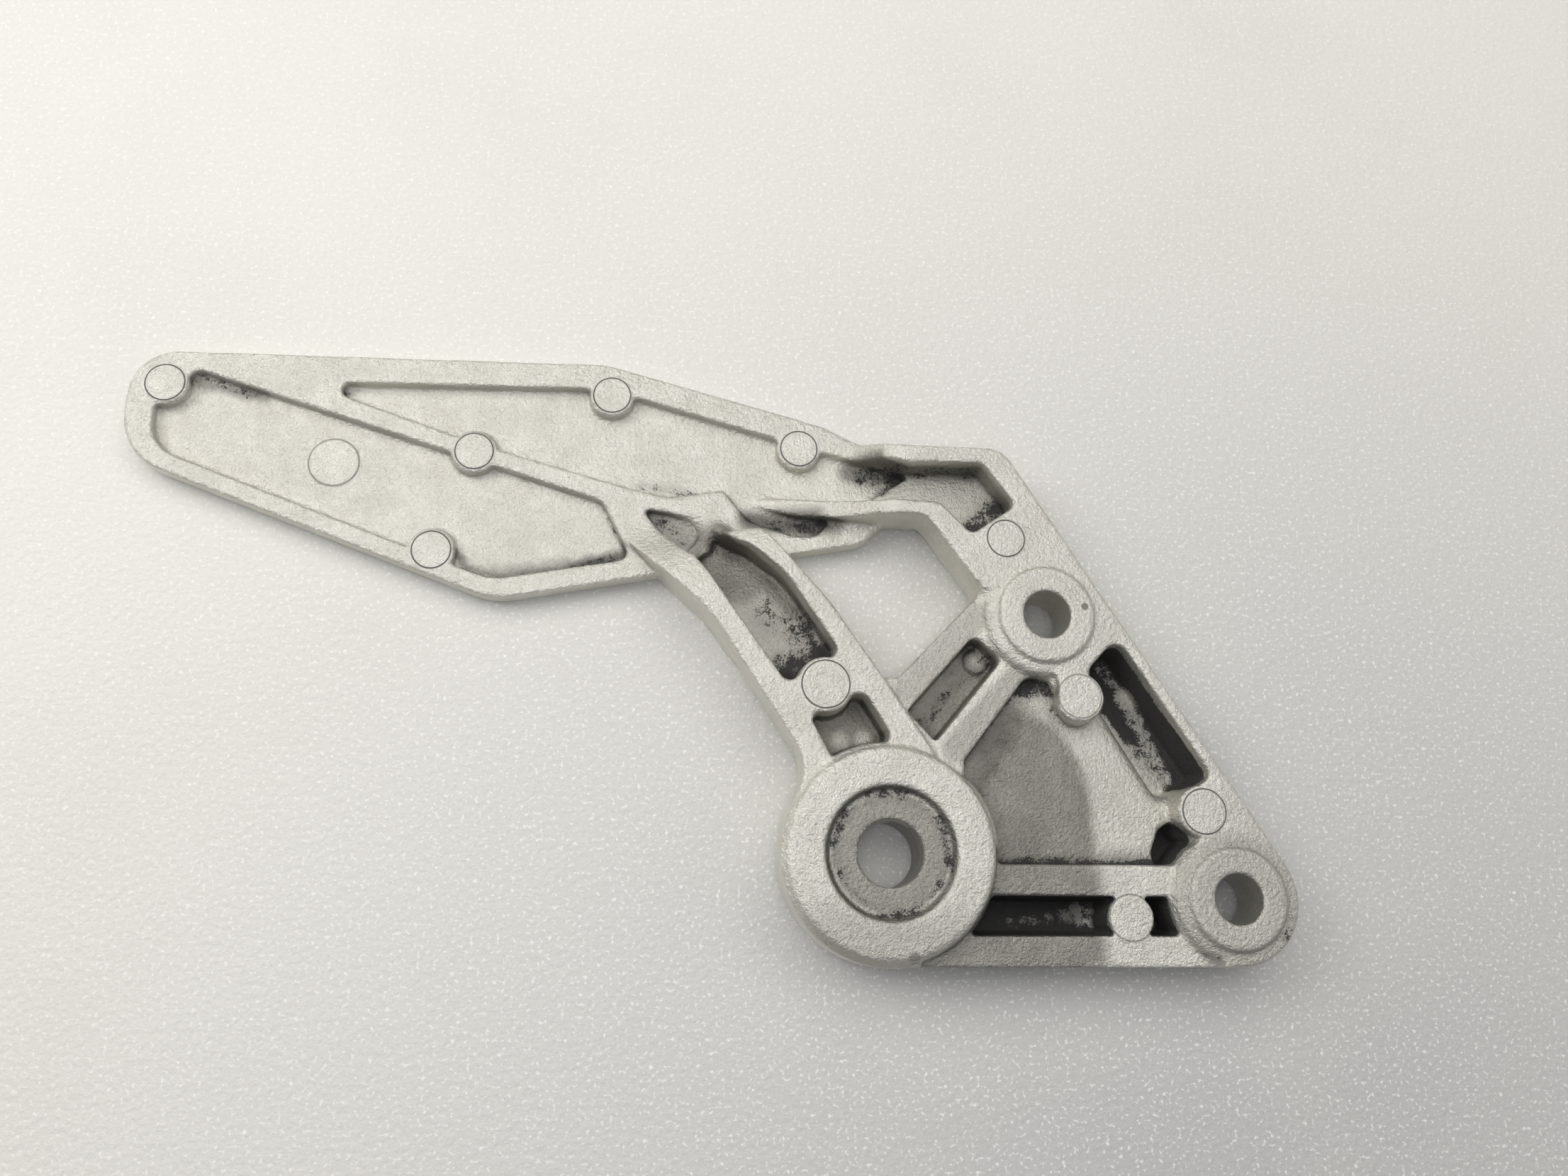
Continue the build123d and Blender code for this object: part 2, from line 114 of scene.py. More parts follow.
@dataclass
class NodeSheet:
    """A node tree under construction, with short calls for the nodes that the finishes use."""

    tree: bpy.types.NodeTree

    def node(self, kind: str, **settings: object) -> bpy.types.Node:
        """Add a node.

        Args:
            kind: The node's type name.
            **settings: Properties to set on it.

        Returns:
            The new node.
        """
        made = self.tree.nodes.new(kind)
        for name, value in settings.items():
            setattr(made, name, value)
        return made

    def feed(self, socket: bpy.types.NodeSocket, value: object) -> None:
        """Link a socket to an output, or set its plain value.

        Args:
            socket: The input to feed.
            value: An output socket, a number or a tuple.
        """
        if isinstance(value, bpy.types.NodeSocket):
            self.tree.links.new(value, socket)
        else:
            socket.default_value = value

    def math(self, operation: str, *values: object, clamp: bool = False) -> bpy.types.NodeSocket:
        """Add a Math node.

        Args:
            operation: The node's operation.
            *values: Its inputs, sockets or numbers.
            clamp: Whether the result is held between 0 and 1.

        Returns:
            The result socket.
        """
        made = self.node("ShaderNodeMath", operation=operation, use_clamp=clamp)
        for socket, value in zip(made.inputs, values):
            self.feed(socket, value)
        return made.outputs[0]

    def vector(self, operation: str, *values: object) -> bpy.types.Node:
        """Add a Vector Math node.

        Args:
            operation: The node's operation.
            *values: Its inputs, sockets or tuples.

        Returns:
            The node.
        """
        made = self.node("ShaderNodeVectorMath", operation=operation)
        for socket, value in zip(made.inputs, values):
            self.feed(socket, value)
        return made

    def ramp(
        self, value: object, low: float, high: float, start: float = 0.0, end: float = 1.0
    ) -> bpy.types.NodeSocket:
        """Map a value smoothly from one range to another.

        Args:
            value: The socket to map.
            low: The value that gives start.
            high: The value that gives end.
            start: The result at low.
            end: The result at high.

        Returns:
            The result socket.
        """
        made = self.node("ShaderNodeMapRange", interpolation_type="SMOOTHSTEP", clamp=True)
        names = ("Value", "From Min", "From Max", "To Min", "To Max")
        for name, number in zip(names, (value, low, high, start, end)):
            self.feed(made.inputs[name], number)
        return made.outputs[0]

    def noise(
        self, place: object, size_mm: float, detail: float = 3.0, rough: float = 0.55
    ) -> bpy.types.NodeSocket:
        """Add a Noise Texture.

        Args:
            place: The coordinates, in metres.
            size_mm: The pattern's size in millimetres.
            detail: The number of octaves.
            rough: How strong the finer octaves are.

        Returns:
            The noise value, around 0.5.
        """
        made = self.node("ShaderNodeTexNoise")
        self.feed(made.inputs["Vector"], place)
        self.feed(made.inputs["Scale"], 1.0 / (size_mm * MM))
        self.feed(made.inputs["Detail"], detail)
        self.feed(made.inputs["Roughness"], rough)
        return made.outputs["Fac"]

    def blend(self, factor: object, first: object, second: object) -> bpy.types.NodeSocket:
        """Mix two colours.

        Args:
            factor: How much of the second, 0 to 1.
            first: A colour or socket.
            second: A colour or socket.

        Returns:
            The mixed colour.
        """
        made = self.node("ShaderNodeMix", data_type="RGBA")
        self.feed(made.inputs[0], factor)
        self.feed(made.inputs[6], first)
        self.feed(made.inputs[7], second)
        return made.outputs[2]


def new_group(
    name: str, inputs: dict[str, str], outputs: dict[str, str]
) -> tuple[NodeSheet, bpy.types.Node, bpy.types.Node]:
    """Start a shader node group.

    Args:
        name: The group's name.
        inputs: Input names with their socket types.
        outputs: Output names with their socket types.

    Returns:
        The sheet to draw on, the group's input node and its output node.
    """
    tree = bpy.data.node_groups.new(name, "ShaderNodeTree")
    for label, kind in inputs.items():
        tree.interface.new_socket(label, in_out="INPUT", socket_type=kind)
    for label, kind in outputs.items():
        tree.interface.new_socket(label, in_out="OUTPUT", socket_type=kind)
    sheet = NodeSheet(tree)
    return sheet, sheet.node("NodeGroupInput"), sheet.node("NodeGroupOutput")


def build_ring_group() -> bpy.types.ShaderNodeTree:
    """Build the group that draws the hairline gap round an ejector pin or another round mark.

    Returns:
        The node group, with the line's mask as its output.
    """
    sheet, given, result = new_group(
        "ring_line",
        {
            "Place": "NodeSocketVector",
            "Centre": "NodeSocketVector",
            "Radius": "NodeSocketFloat",
            "Width": "NodeSocketFloat",
        },
        {"Line": "NodeSocketFloat"},
    )
    in_plan = (1.0, 1.0, 0.0)
    core, rim = 0.4, 1.0
    level = sheet.vector("MULTIPLY", given.outputs["Place"], in_plan).outputs["Vector"]
    away = sheet.vector("DISTANCE", level, given.outputs["Centre"]).outputs["Value"]
    gap = sheet.math("ABSOLUTE", sheet.math("SUBTRACT", away, given.outputs["Radius"]))
    share = sheet.math("DIVIDE", gap, given.outputs["Width"])
    sheet.feed(result.inputs["Line"], sheet.ramp(share, core, rim, 1.0, 0.0))
    return sheet.tree


def build_speck_group() -> bpy.types.ShaderNodeTree:
    """Build the group that breaks a smooth amount of dirt and painted shade up into specks.

    Returns:
        The node group, with the speckled mask as its output.
    """
    sheet, given, result = new_group(
        "specks",
        {"Place": "NodeSocketVector", "Amount": "NodeSocketFloat"},
        {"Mask": "NodeSocketFloat", "Fine": "NodeSocketFloat"},
    )
    coarse_mm, coarse_share = 2.2, 1.3
    fine_mm, fine_share, fine_rough = 0.42, 1.7, 0.8
    middle = 0.5 * (coarse_share + fine_share)
    loosest = 4.0
    edge_low, edge_high = 0.40, 0.66
    coarse = sheet.noise(given.outputs["Place"], coarse_mm)
    fine = sheet.noise(given.outputs["Place"], fine_mm, rough=fine_rough)
    spread = sheet.math(
        "ADD", sheet.math("MULTIPLY", coarse, coarse_share), sheet.math("MULTIPLY", fine, fine_share)
    )
    spread = sheet.math("SUBTRACT", spread, middle)
    amount = sheet.math("ADD", given.outputs["Amount"], 0.0, clamp=True)
    loose = sheet.math("MULTIPLY", amount, sheet.math("SUBTRACT", 1.0, amount))
    loose = sheet.math("MULTIPLY", loose, loosest)
    reach = sheet.math("ADD", amount, sheet.math("MULTIPLY", spread, loose))
    sheet.feed(result.inputs["Mask"], sheet.ramp(reach, edge_low, edge_high))
    sheet.feed(result.inputs["Fine"], fine)
    return sheet.tree


@dataclass(frozen=True)
class RoundMark:
    """A round mark on the casting, such as the end of an ejector pin."""

    centre: Place2
    radius: float
    width: float = 0.16
    depth: float = 0.8


@dataclass(frozen=True)
class CastAluminium:
    """Blasted cast aluminium: pale warm grey, a fine grain, grime and painted shade in the pockets, painted
    shadow on the web and the bottom ribs, and bare bright edges.
    """

    name: str = "cast_aluminium"
    bare: Colour = (0.81, 0.79, 0.725, 1.0)
    bright: Colour = (0.93, 0.915, 0.86, 1.0)
    dull: Colour = (0.57, 0.55, 0.49, 1.0)
    # dark film colour: dull film, and also painted shade and painted shadow
    film_and_shade: Colour = (0.10, 0.094, 0.082, 1.0)
    grime: Colour = (0.016, 0.0155, 0.015, 1.0)
    metallic: float = 0.88
    rough: float = 0.35
    rough_spread: float = 0.16
    grain_depth: float = 0.28
    grain_size: float = 0.8
    grain_detail: float = 2.0
    grain_share: float = 1.2
    grain_strength: float = 0.9
    # the hollow and corner settings paint shade from ambient occlusion: grime specks and dark film in
    # hollows and at the feet of walls
    hollow_reach: float = 3.5
    hollow_ramp: Span = (0.85, 0.25)
    hollow_grime_and_shade: float = 0.40
    hollow_painted_shade: float = 0.30
    corner_reach: float = 1.1
    corner_ramp: Span = (0.85, 0.45)
    corner_grime_and_shade: float = 0.58
    corner_painted_shade: float = 0.60
    shade_rays: int = 8
    speck_cover: float = 0.96
    veil: float = 0.42
    mottle_size: float = 5.5
    mottle_detail: float = 4.0
    mottle_rough: float = 0.6
    mottle_ramp: Span = (0.30, 0.70)
    evenness: float = 0.68
    pit_ramp: Span = (0.34, 0.66)
    pit_dulling: float = 0.42
    film_and_shade_cover: float = 0.92
    patch_ramp: Span = (0.25, 0.75)
    film_and_shade_patchiness: float = 0.75
    metal_ramp: Span = (0.15, 0.9)
    dirty_metallic: float = 0.1
    dirt_rough: float = 0.35
    facing_up: Span = (0.5, 0.8)
    marks: tuple[RoundMark, ...] = (
        RoundMark((-135.8, 86.3), 3.6),
        RoundMark((-52.2, 87.9), 3.6),
        RoundMark((-77.9, 75.1), 3.6),
        RoundMark((-84.5, 55.2), 3.6),
        RoundMark((-15.4, 78.4), 3.6),
        RoundMark((-11.4, 30.0), 4.4),
        RoundMark((23.3, 58.9), 3.6),
        RoundMark((36.1, 28.8), 4.1, depth=0.4),
        RoundMark((58.3, 8.0), 4.1),
        RoundMark((43.9, -10.9), 4.1, depth=0.4),
        RoundMark((-104.1, 72.4), 4.7, 0.20, 0.45),
        RoundMark((37.7, 45.7), 0.25, 0.55, 0.65),
        RoundMark((3.6, -18.0), 0.30, 0.90, 0.45),
    )

    def build(self) -> bpy.types.Material:
        """Build the material.

        Returns:
            The finished material.
        """
        material = bpy.data.materials.new(self.name)
        material.use_nodes = True
        sheet = NodeSheet(material.node_tree)
        shader = material.node_tree.nodes["Principled BSDF"]
        place = sheet.node("ShaderNodeTexCoord").outputs["Object"]
        laid = sheet.node("ShaderNodeAttribute", attribute_name="grime").outputs["Fac"]
        film_and_shade = sheet.node("ShaderNodeAttribute", attribute_name="film_and_shade").outputs["Fac"]
        rings = self.ring_lines(sheet, place)

        # ambient-occlusion masks of hollows and corners, for painted shade
        hollow_shade = self.shade(sheet, self.hollow_reach, self.hollow_ramp)
        edge = self.shade(sheet, self.corner_reach, self.corner_ramp)

        # grime from the strokes, plus painted shade as specks in corners and hollows
        amount = sheet.math("ADD", laid, sheet.math("MULTIPLY", edge, self.corner_grime_and_shade))
        trapped_grime_and_shade = sheet.math("MULTIPLY", sheet.math("MULTIPLY", hollow_shade, laid), self.hollow_grime_and_shade)
        amount = sheet.math("ADD", amount, trapped_grime_and_shade)
        specks = sheet.node("ShaderNodeGroup", node_tree=build_speck_group())
        sheet.feed(specks.inputs["Place"], place)
        sheet.feed(specks.inputs["Amount"], amount)
        # the veil and the specks carry grime and painted corner shade, in the near-black grime colour
        veil = sheet.math("MULTIPLY", amount, self.veil, clamp=True)
        dirt_and_shade = sheet.math("MULTIPLY", specks.outputs["Mask"], self.speck_cover)
        dirt_and_shade = sheet.math("MAXIMUM", sheet.math("MAXIMUM", dirt_and_shade, veil), rings, clamp=True)

        mottle = sheet.noise(place, self.mottle_size, self.mottle_detail, self.mottle_rough)
        fine = specks.outputs["Fine"]
        tone = sheet.blend(sheet.ramp(mottle, *self.mottle_ramp), self.dull, self.bright)
        tone = sheet.blend(self.evenness, tone, self.bare)
        pits = sheet.ramp(fine, *self.pit_ramp, self.pit_dulling, 0.0)
        tone = sheet.blend(pits, tone, self.dull)
        # dull film from the strokes, plus painted shade from the hollow and corner masks
        film_and_shade_amount = sheet.math("ADD", film_and_shade, sheet.math("MULTIPLY", edge, self.corner_painted_shade))
        film_and_shade_amount = sheet.math("ADD", film_and_shade_amount, sheet.math("MULTIPLY", hollow_shade, self.hollow_painted_shade))
        patches = sheet.ramp(mottle, *self.patch_ramp, self.film_and_shade_patchiness, 1.0)
        film_and_shade_amount = sheet.math("MULTIPLY", film_and_shade_amount, patches, clamp=True)
        tone = sheet.blend(sheet.math("MULTIPLY", film_and_shade_amount, self.film_and_shade_cover), tone, self.film_and_shade)
        sheet.feed(shader.inputs["Base Color"], sheet.blend(dirt_and_shade, tone, self.grime))
        metal = sheet.ramp(dirt_and_shade, *self.metal_ramp, self.metallic, self.dirty_metallic)
        sheet.feed(shader.inputs["Metallic"], metal)
        rough = sheet.math("MULTIPLY", fine, self.rough_spread)
        rough = sheet.math("ADD", rough, sheet.math("MULTIPLY", dirt_and_shade, self.dirt_rough))
        rough = sheet.math("ADD", rough, self.rough - 0.5 * self.rough_spread, clamp=True)
        sheet.feed(shader.inputs["Roughness"], rough)
        sheet.feed(shader.inputs["Normal"], self.grain_normal(sheet, place, fine, rings))
        return material

    def shade(self, sheet: NodeSheet, reach: float, limits: Span) -> bpy.types.NodeSocket:
        """Tell how closed in a place is, for the painted shade in hollows and corners.

        Args:
            sheet: The material's sheet.
            reach: How far the nodes look, in millimetres.
            limits: The openness that gives 0 and the one that gives 1.

        Returns:
            The mask of closed-in places.
        """
        made = sheet.node("ShaderNodeAmbientOcclusion", samples=self.shade_rays, only_local=True)
        sheet.feed(made.inputs["Distance"], reach * MM)
        return sheet.ramp(made.outputs["AO"], *limits)

    def ring_lines(self, sheet: NodeSheet, place: bpy.types.NodeSocket) -> bpy.types.NodeSocket:
        """Draw the hairlines of all round marks, on faces that look up.

        Args:
            sheet: The material's sheet.
            place: The coordinates.

        Returns:
            The lines' mask.
        """
        group = build_ring_group()
        lines: object = 0.0
        for mark in self.marks:
            ring = sheet.node("ShaderNodeGroup", node_tree=group)
            sheet.feed(ring.inputs["Place"], place)
            sheet.feed(ring.inputs["Centre"], (mark.centre[0] * MM, mark.centre[1] * MM, 0.0))
            sheet.feed(ring.inputs["Radius"], mark.radius * MM)
            sheet.feed(ring.inputs["Width"], mark.width * MM)
            lines = sheet.math("MAXIMUM", lines, sheet.math("MULTIPLY", ring.outputs["Line"], mark.depth))
        up = sheet.node("ShaderNodeSeparateXYZ")
        sheet.feed(up.inputs[0], sheet.node("ShaderNodeNewGeometry").outputs["Normal"])
        return sheet.math("MULTIPLY", lines, sheet.ramp(up.outputs["Z"], *self.facing_up))

    def grain_normal(
        self,
        sheet: NodeSheet,
        place: bpy.types.NodeSocket,
        fine: bpy.types.NodeSocket,
        rings: bpy.types.NodeSocket,
    ) -> bpy.types.NodeSocket:
        """Raise the blasted grain and sink the hairlines.

        Args:
            sheet: The material's sheet.
            place: The coordinates.
            fine: The fine noise that the specks share.
            rings: The hairlines' mask.

        Returns:
            The bumped normal.
        """
        coarse = sheet.noise(place, self.grain_size, self.grain_detail)
        coarse = sheet.math("MULTIPLY", coarse, self.grain_share)
        height = sheet.math("ADD", fine, coarse)
        height = sheet.math("SUBTRACT", height, rings)
        bump = sheet.node("ShaderNodeBump")
        sheet.feed(bump.inputs["Strength"], self.grain_strength)
        sheet.feed(bump.inputs["Distance"], self.grain_depth * MM)
        sheet.feed(bump.inputs["Height"], height)
        return bump.outputs["Normal"]


@dataclass(frozen=True)
class PaleFloor:
    """A matt off-white sheet under the part, with painted shade round the part's lower right corner and
    painted glints.
    """

    name: str = "pale_floor"
    painted_shade_near: Colour = (0.53, 0.525, 0.52, 1.0)
    far: Colour = (0.85, 0.835, 0.785, 1.0)
    stain: Colour = (0.70, 0.69, 0.64, 1.0)
    painted_glint: Colour = (0.96, 0.96, 0.94, 1.0)
    rough: float = 0.6
    painted_shade_centre: Place3 = (0.070, -0.060, CAD_BOX[0][2])
    painted_shade_ramp: Span = (-0.040, 0.290)
    stain_size: float = 60.0
    stain_detail: float = 5.0
    stain_ramp: Span = (0.40, 0.80)
    stain_cover: float = 0.3
    painted_glint_size: float = 0.75
    painted_glint_detail: float = 1.0
    painted_glint_ramp: Span = (0.56, 0.74)
    painted_glint_cover: float = 0.75
    weave_size: float = 1.3
    weave_depth: float = 0.4
    weave_strength: float = 0.6

    def build(self) -> bpy.types.Material:
        """Build the material.

        Returns:
            The finished material.
        """
        material = bpy.data.materials.new(self.name)
        material.use_nodes = True
        sheet = NodeSheet(material.node_tree)
        shader = material.node_tree.nodes["Principled BSDF"]
        place = sheet.node("ShaderNodeTexCoord").outputs["Object"]
        # painted shade: the floor's colour darkens towards a point off the part's lower right corner
        point = sheet.node("ShaderNodeNewGeometry").outputs["Position"]
        away = sheet.vector("DISTANCE", point, self.painted_shade_centre).outputs["Value"]
        shade = sheet.blend(sheet.ramp(away, *self.painted_shade_ramp), self.painted_shade_near, self.far)
        stains = sheet.noise(place, self.stain_size, self.stain_detail)
        stains = sheet.ramp(stains, *self.stain_ramp, 0.0, self.stain_cover)
        shade = sheet.blend(stains, shade, self.stain)
        # painted glints: bright specks in the floor's colour stand in for sparkle
        painted_glints = sheet.noise(place, self.painted_glint_size, self.painted_glint_detail)
        painted_glints = sheet.ramp(painted_glints, *self.painted_glint_ramp, 0.0, self.painted_glint_cover)
        shade = sheet.blend(painted_glints, shade, self.painted_glint)
        sheet.feed(shader.inputs["Base Color"], shade)
        sheet.feed(shader.inputs["Roughness"], self.rough)
        bump = sheet.node("ShaderNodeBump")
        sheet.feed(bump.inputs["Strength"], self.weave_strength)
        sheet.feed(bump.inputs["Distance"], self.weave_depth * MM)
        sheet.feed(bump.inputs["Height"], sheet.noise(place, self.weave_size))
        sheet.feed(shader.inputs["Normal"], bump.outputs["Normal"])
        return material


@dataclass(frozen=True)
class Stroke:
    """A stroke along a line in plan, from the height foot up to the height top, in millimetres.

    The amount falls off to the outer radius over the share soft of it, and to the inner radius, if any.
    A negative amount takes away from the strokes before it.
    """

    start: Place2
    end: Place2
    radius: float
    amount: float
    top: float = 9.0
    inner: float = 0.0
    soft: float = 0.35
    foot: float = -2.0
    height_fade: ClassVar[float] = 0.8
    inner_fade: ClassVar[float] = 0.4
    least: ClassVar[float] = 1e-9

    def cover(self, points: np.ndarray) -> np.ndarray:
        """Tell how much of the stroke lies on each point.

        Args:
            points: The places, in millimetres.

        Returns:
            The amount on each point.
        """
        start, end = np.array(self.start), np.array(self.end)
        along = end - start
        share = np.clip((points[:, :2] - start) @ along / max(along @ along, self.least), 0.0, 1.0)
        away = np.linalg.norm(points[:, :2] - start - share[:, None] * along, axis=1)
        fade = np.clip((self.radius - away) / (self.soft * self.radius), 0.0, 1.0)
        if self.inner:
            fade *= np.clip((away - self.inner) / self.inner_fade + 0.5, 0.0, 1.0)
        depth = np.minimum(self.top - points[:, 2], points[:, 2] - self.foot)
        between = np.clip(depth / self.height_fade, 0.0, 1.0)
        return self.amount * fade * fade * (3.0 - 2.0 * fade) * between


GRIME = (
    # bottom pocket, black all through but for scuffed patches
    Stroke((19.0, -10.6), (53.0, -10.6), 5.6, 1.0, 10.4),
    Stroke((23.0, -11.6), (31.0, -10.8), 2.4, -0.42, 4.0, soft=0.9),
    Stroke((35.0, -10.6), (40.0, -11.4), 3.0, -0.60, 4.0, soft=0.8),
    Stroke((36.0, -8.6), (39.0, -8.8), 1.8, -0.45, 4.0, soft=0.9),
    Stroke((51.5, -11.8), (53.0, -10.4), 2.0, -0.50, 4.0, soft=0.9),
    # trench along the right edge, with a scuffed floor
    Stroke((41.0, 38.0), (60.0, 13.5), 5.2, 1.0, 10.6),
    Stroke((44.0, 36.6), (48.5, 30.0), 2.2, -0.48, 4.5, soft=0.8),
    Stroke((48.5, 30.0), (55.5, 15.0), 2.7, -0.58, 4.5, soft=0.8),
    # pit by the lower bolt boss
    Stroke((54.5, 2.0), (55.5, 2.0), 5.2, 1.0, 9.6),
    Stroke((51.0, 3.0), (51.0, 3.0), 1.6, -0.45, 8.4, soft=0.9),
    # the panel's edges
    Stroke((17.0, -1.8), (50.0, -1.8), 2.6, 0.66, 10.0, soft=0.8),
    Stroke((14.5, 17.0), (26.0, 32.0), 2.0, 0.42, 10.2, soft=0.8),
    Stroke((25.0, 31.0), (33.0, 31.0), 3.4, 0.66, 10.2, soft=0.8),
    Stroke((36.1, 28.8), (36.1, 28.8), 7.2, 0.62, 9.5, 4.1, 0.7),
    # strut pocket
    Stroke((6.0, 22.6), (12.0, 29.0), 2.4, 0.46, 9.0, soft=0.8),
    Stroke((12.0, 29.0), (20.5, 37.0), 1.8, 0.36, 9.0, soft=0.8),
    # left arm's pocket, speckled with grime at its lower end; its dark deep end is painted shade laid with
    # the film strokes
    Stroke((-18.0, 33.6), (-11.5, 36.6), 6.0, 0.74, 8.5, soft=0.9),
    Stroke((-22.0, 44.0), (-13.0, 40.0), 6.5, 0.44, 8.5, soft=0.9),
    Stroke((-12.5, 38.0), (-15.0, 43.0), 3.0, 0.60, 9.5, soft=0.8),
    Stroke((-42.0, 62.8), (-37.4, 59.6), 3.0, 0.46, 4.2, soft=0.9),
    # right arm's pocket
    Stroke((-3.0, 73.6), (19.0, 74.2), 2.4, 0.46, 10.5, soft=0.8),
    Stroke((17.5, 62.0), (24.0, 67.6), 4.2, 0.66, 8.5, soft=0.9),
    Stroke((-2.6, 73.6), (5.6, 74.4), 3.4, 0.60, 5.2, soft=0.9),
    Stroke((1.0, 70.4), (4.0, 72.6), 2.0, 0.50, 5.2, soft=0.8),
    # heel guard: under the inner rib and at the pockets' ends
    Stroke((-25.0, 63.0), (-9.0, 62.6), 2.6, 0.52, 5.0, soft=0.8),
    Stroke((-29.5, 67.8), (-25.5, 63.4), 1.8, 0.48, 4.2, soft=0.8),
    Stroke((-49.5, 56.0), (-58.0, 53.0), 2.2, 0.50, 4.0, soft=0.8),
    Stroke((-47.6, 56.0), (-53.5, 66.0), 1.5, 0.40, 4.0, soft=0.8),
    Stroke((-131.0, 88.4), (-120.0, 85.4), 1.8, 0.44, 4.0, soft=0.8),
    Stroke((-109.6, 87.0), (-103.0, 86.2), 2.0, 0.42, 4.0, soft=0.8),
    Stroke((-46.0, 70.2), (-36.0, 68.8), 1.8, 0.40, 4.6, soft=0.8),
    # rings of old grease on the machined faces
    Stroke((0.0, 0.0), (0.0, 0.0), 12.2, 0.44, 13.6, 9.4, 0.2),
    Stroke((-3.8, 10.5), (3.7, 11.2), 1.7, 0.64, 13.6, soft=0.9),
    Stroke((9.0, 7.5), (11.2, -3.5), 1.6, 0.62, 13.6, soft=0.9),
    Stroke((-8.2, 7.0), (-10.4, 1.5), 1.7, 0.66, 13.6, soft=0.9),
    Stroke((-3.0, -10.9), (5.0, -10.4), 1.4, 0.60, 13.6, soft=0.9),
    Stroke((30.4, 44.1), (30.4, 44.1), 12.0, 0.16, 14.5, 9.4),
    Stroke((63.2, -7.6), (63.2, -7.6), 12.6, 0.40, 14.5, 9.4),
    Stroke((54.6, -2.6), (53.4, -10.0), 1.8, 0.55, 12.8, soft=0.9, foot=8.0),
    Stroke((71.6, -14.2), (73.2, -10.6), 1.7, 0.55, 13.2, soft=0.9, foot=4.0),
    Stroke((57.0, -17.0), (64.0, -18.4), 1.6, 0.50, 12.8, soft=0.9, foot=6.0),
)

